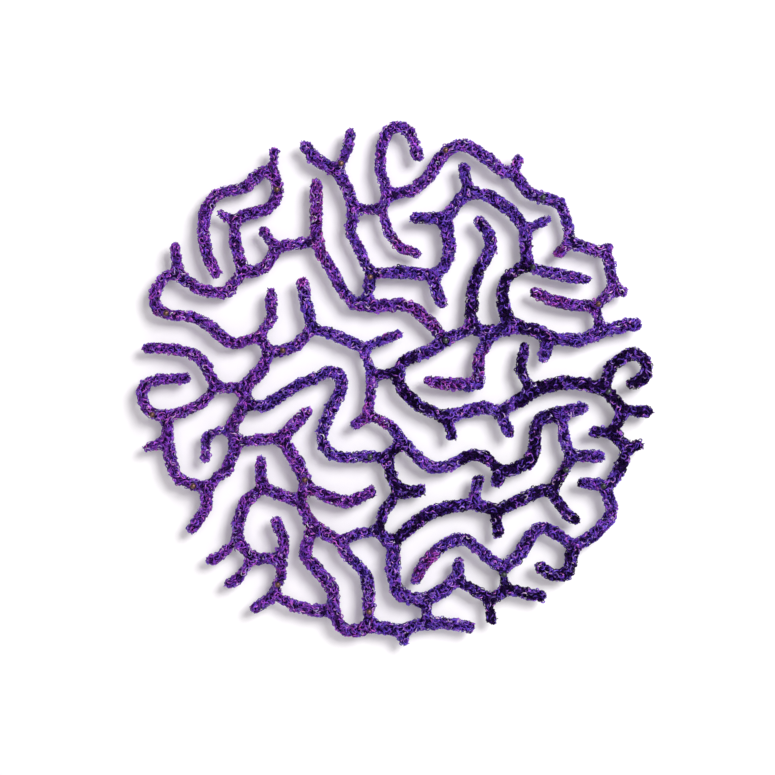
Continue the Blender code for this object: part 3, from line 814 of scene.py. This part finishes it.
# %% Add edge loops and tip ends
EDGE_CELL = 12.0 * MM
EDGE_LEAN = 0.45            # a normal that leans less than this to front or back is on a strand's edge
LOOP_POINTS = 9
LOOP_RADIUS = (0.5 * MM, 0.95 * MM)
LOOP_SQUASH = (0.5, 1.0)
LOOP_OUT = (-0.6 * MM, 0.1 * MM)
LOOP_TILT = 0.3
TIP_CELL = 1.8 * MM
TIP_BACK_SHARE = 0.4
TIP_POINTS = 4
TIP_LENGTH = (0.6 * MM, 1.4 * MM)
TIP_TILT = 0.35
TIP_BEND = 0.35             # how far a loose end curls aside, as a share of its length
TIP_ROOT = 0.45             # the share of a loose end that lies inside the strand
FRAY_ROUNDNESS = 0.12       # rounder places than this are tips

sideways = np.abs(normals[:, 1]) < EDGE_LEAN
edge = spread_starts(EDGE_CELL, 1.0, sideways)
count = len(edge)
radius = chance.uniform(*LOOP_RADIUS, count)[:, None, None]
centre = points[edge] + normals[edge] * chance.uniform(*LOOP_OUT, count)[:, None]
once_round = np.linspace(0, math.tau, LOOP_POINTS)
angles = (once_round[None, :] + chance.uniform(0, math.tau, count)[:, None])[..., None]
flat_run = unit(runs[edge] + chance.normal(0, LOOP_TILT, (count, 3)))
squash = chance.uniform(*LOOP_SQUASH, count)[:, None, None]
loops = centre[:, None, :] + radius * (
    np.cos(angles) * flat_run[:, None, :] + squash * np.sin(angles) * normals[edge][:, None, :])
loop_up = np.repeat(unit(np.cross(flat_run, normals[edge]))[:, None, :], LOOP_POINTS, axis=1)
share_out(loops, loop_up, np.zeros((count, LOOP_POINTS)), dive=0.0, end_size=1.0)

tips = spread_starts(TIP_CELL, TIP_BACK_SHARE, roundness > FRAY_ROUNDNESS)
count = len(tips)
lengths = chance.uniform(*TIP_LENGTH, count)[:, None, None]
ways = unit(normals[tips] + chance.normal(0, TIP_TILT, (count, 3)))
bends = unit(chance.normal(0, 1, (count, 3)))
shares = np.linspace(0, 1, TIP_POINTS)[None, :, None]
ends = points[tips][:, None, :] + lengths * (
    (shares - TIP_ROOT) * ways[:, None, :] + TIP_BEND * shares ** 2 * bends[:, None, :])
end_up = np.repeat(unit(np.cross(ways, bends))[:, None, :], TIP_POINTS, axis=1)
share_out(ends, end_up, np.zeros((count, TIP_POINTS)), dive=0.0)

# %% [markdown]
# ## Assembling each strand
# A strand's threads become one mesh, which is joined to its inner body. The joined piece stands for the
# plain solid, which is hidden, and its colours come from the mixes of that solid's slot.

# %% Build the strands
# Painted shade: the buried stitches are painted this much darker than the top threads
GROUND_PAINTED_SHADE = 0.09         # of the buried stitches' colour, as a share of the top threads'


def write_attributes(mesh, dye, run, across):
    """Stores the dye and the two ply attributes on a mesh's vertices."""
    colours = np.ones((len(dye), 4))
    colours[:, :3] = dye
    mesh.attributes.new("dye", "FLOAT_COLOR", "POINT").data.foreach_set("color", colours.ravel())
    mesh.attributes.new("run", "FLOAT", "POINT").data.foreach_set("value", run)
    mesh.attributes.new("across", "FLOAT", "POINT").data.foreach_set("value", across)


def threads_object(name, groups):
    """All of a strand's threads as one object."""
    offset = 0
    faces = []
    for group in groups:
        faces += (group["quads"] + offset).tolist() + (group["caps"] + offset).tolist()
        offset += len(group["corners"])
    mesh = bpy.data.meshes.new(name)
    mesh.from_pydata(np.concatenate([group["corners"] for group in groups]).tolist(), [], faces)
    write_attributes(mesh, *(np.concatenate([group[key] for group in groups])
                             for key in ("dye", "run", "across")))
    made = bpy.data.objects.new(name, mesh)
    bpy.context.scene.collection.objects.link(made)
    return made


def ground_dye_and_shade_at(place, slot):
    """The average colour of a mix, darkened as painted shade on the deep stitches."""
    shares = MIXES[mix_at(place, slot)]
    return GROUND_PAINTED_SHADE * sum(share * np.array(DYES[dye]) for dye, share in shares.items())


face_total = 0
for name in strand_names:
    core = cores[name]
    slot = slot_of[name]
    # Painted shade: the inner body gets its mixes' colour, darkened a lot
    buried_dye_and_shade = np.array([ground_dye_and_shade_at(vertex.co, slot) for vertex in core.data.vertices])
    plain = np.zeros(len(buried_dye_and_shade))
    write_attributes(core.data, buried_dye_and_shade, plain, plain)
    core.data.materials.append(ground.material)
    threads = threads_object(f"{name}_threads", threads_of[name])
    threads.data.materials.append(thread.material)
    select_only(core, threads)
    bpy.ops.object.join()
    bpy.ops.object.shade_smooth()
    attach(core, "root")
    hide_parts(name)
    core.data.calc_loop_triangles()
    face_total += len(core.data.loop_triangles)
print("the strands have", face_total, "triangles")

# %% [markdown]
# ## The pins
# Each pin is a steel wire with a round head. It is modelled once: a cylinder along the wire, whose far
# end is drawn out into a point and whose near end grows a small collar, and a ball that is slightly
# flattened in front, as cast metal heads are. Copies of it, each with its own mesh, go where the frame's
# pins are.

# %% Model one pin
low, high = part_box(pin_names[0])
PIN_HEAD_RADIUS = (high.x - low.x) / 2
PIN_LENGTH = high.y - low.y
WIRE_RADIUS = 0.35 * MM
POINT_LENGTH = 2.4 * MM
POINT_SIZE = 0.08           # of the point's end, as a share of the wire's width
COLLAR_RADIUS = 0.75 * MM
COLLAR_LENGTH = 0.5 * MM
HEAD_FLAT_FROM = 0.35 * PIN_HEAD_RADIUS
HEAD_FLATTENING = 0.86
SHARP_ANGLE = math.radians(40)
HEAD_SEGMENTS = 28
WIRE_SEGMENTS = 12
FACING_WALL = (math.radians(-90), 0, 0)


def select_faces(thing, chosen):
    """In edit mode afterwards, with just the faces whose middle passes the test selected."""
    select_only(thing)
    bpy.ops.object.mode_set(mode="EDIT")
    bpy.ops.mesh.select_mode(type="FACE")
    bpy.ops.mesh.select_all(action="DESELECT")
    bpy.ops.object.mode_set(mode="OBJECT")
    for face in thing.data.polygons:
        face.select = chosen(thing.matrix_world @ face.center)
    bpy.ops.object.mode_set(mode="EDIT")


def settle(thing):
    """Puts a piece's place into its mesh, with its object at the origin."""
    select_only(thing)
    bpy.ops.object.transform_apply(location=True, rotation=True, scale=True)


def model_pin():
    """A pin along Y with its head's front at the origin and its point at +Y."""
    wire_start = 2 * PIN_HEAD_RADIUS
    wire_length = PIN_LENGTH - wire_start - POINT_LENGTH
    bpy.ops.mesh.primitive_cylinder_add(
        vertices=WIRE_SEGMENTS, radius=WIRE_RADIUS, depth=wire_length,
        location=(0, wire_start + wire_length / 2, 0), rotation=FACING_WALL)
    wire = bpy.context.object
    settle(wire)
    wire_end = wire_start + wire_length
    select_faces(wire, lambda middle: middle.y > wire_end - MERGE)
    bpy.ops.mesh.extrude_region_move(TRANSFORM_OT_translate={"value": (0, POINT_LENGTH, 0)})
    bpy.ops.transform.resize(value=(POINT_SIZE, 1, POINT_SIZE), center_override=(0, wire_end, 0))
    bpy.ops.object.mode_set(mode="OBJECT")
    select_faces(wire, lambda middle: middle.y < wire_start + MERGE)
    bpy.ops.mesh.extrude_region_move(TRANSFORM_OT_translate={"value": (0, -COLLAR_LENGTH, 0)})
    collar = COLLAR_RADIUS / WIRE_RADIUS
    bpy.ops.transform.resize(value=(collar, 1, collar), center_override=(0, wire_start, 0))
    bpy.ops.object.mode_set(mode="OBJECT")
    bpy.ops.mesh.primitive_uv_sphere_add(
        segments=HEAD_SEGMENTS, ring_count=HEAD_SEGMENTS // 2, radius=PIN_HEAD_RADIUS,
        location=(0, PIN_HEAD_RADIUS, 0), rotation=FACING_WALL)
    head = bpy.context.object
    settle(head)
    select_faces(head, lambda middle: middle.y < HEAD_FLAT_FROM)
    bpy.ops.transform.resize(value=(1, HEAD_FLATTENING, 1), center_override=(0, HEAD_FLAT_FROM, 0))
    bpy.ops.object.mode_set(mode="OBJECT")
    select_only(head, wire)
    bpy.ops.object.join()
    bpy.ops.object.shade_smooth_by_angle(angle=SHARP_ANGLE)
    return head


pin_model = model_pin()
print("one pin has", len(pin_model.data.polygons), "faces")

# %% [markdown]
# ## Pin metals
# Most heads are a warm brown bronze, the others a dark grey gunmetal. Both are plated, so they are
# smooth but not mirrors, and a faint cloudy tarnish varies their colour and their roughness.

# %% Plate the pins
def plated(name, bright, tarnished):
    """A plated metal whose colour drifts between two values."""
    metal = Finish(name, Metallic=1.0)
    cloud = metal.noise(1.1 * MM, detail=4.0)
    metal.feed(metal.shader.inputs["Base Color"], metal.node(
        "ShaderNodeValToRGB", {"stops": [(0.35, tarnished), (0.65, bright)]}, {0: cloud}).outputs["Color"])
    metal.feed(metal.shader.inputs["Roughness"], 0.50 - cloud * 0.22)
    return metal.material


METALS = {
    "pin_bronze": plated("bronze_plating", (0.24, 0.130, 0.11), (0.10, 0.050, 0.045)),
    "pin_grey": plated("gunmetal_plating", (0.10, 0.115, 0.115), (0.045, 0.05, 0.055)),
}

for name in pin_names:
    low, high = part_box(name)
    pin = pin_model.copy()
    pin.data = pin_model.data.copy()
    pin.name = f"{name}_round"
    bpy.context.scene.collection.objects.link(pin)
    pin.data.transform(Matrix.Translation(((low.x + high.x) / 2, low.y, (low.z + high.z) / 2)))
    pin.data.materials.append(METALS[slot_of[name]])
    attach(pin, "root")
    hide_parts(name)
bpy.data.objects.remove(pin_model)
print(len(pin_names), "pins placed")

# %% [markdown]
# ## The size
# The dressed object must keep the part's size, so the sizes of both boxes are printed side by side.

# %% Print both boxes' sizes
visual_box = [list(corner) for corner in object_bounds()]
for axis, name in enumerate("XYZ"):
    cad_size = (cad_box[1][axis] - cad_box[0][axis]) / MM
    visual_size = (visual_box[1][axis] - visual_box[0][axis]) / MM
    print(f"{name}: part {cad_size:.1f} mm, dressed {visual_size:.1f} mm")
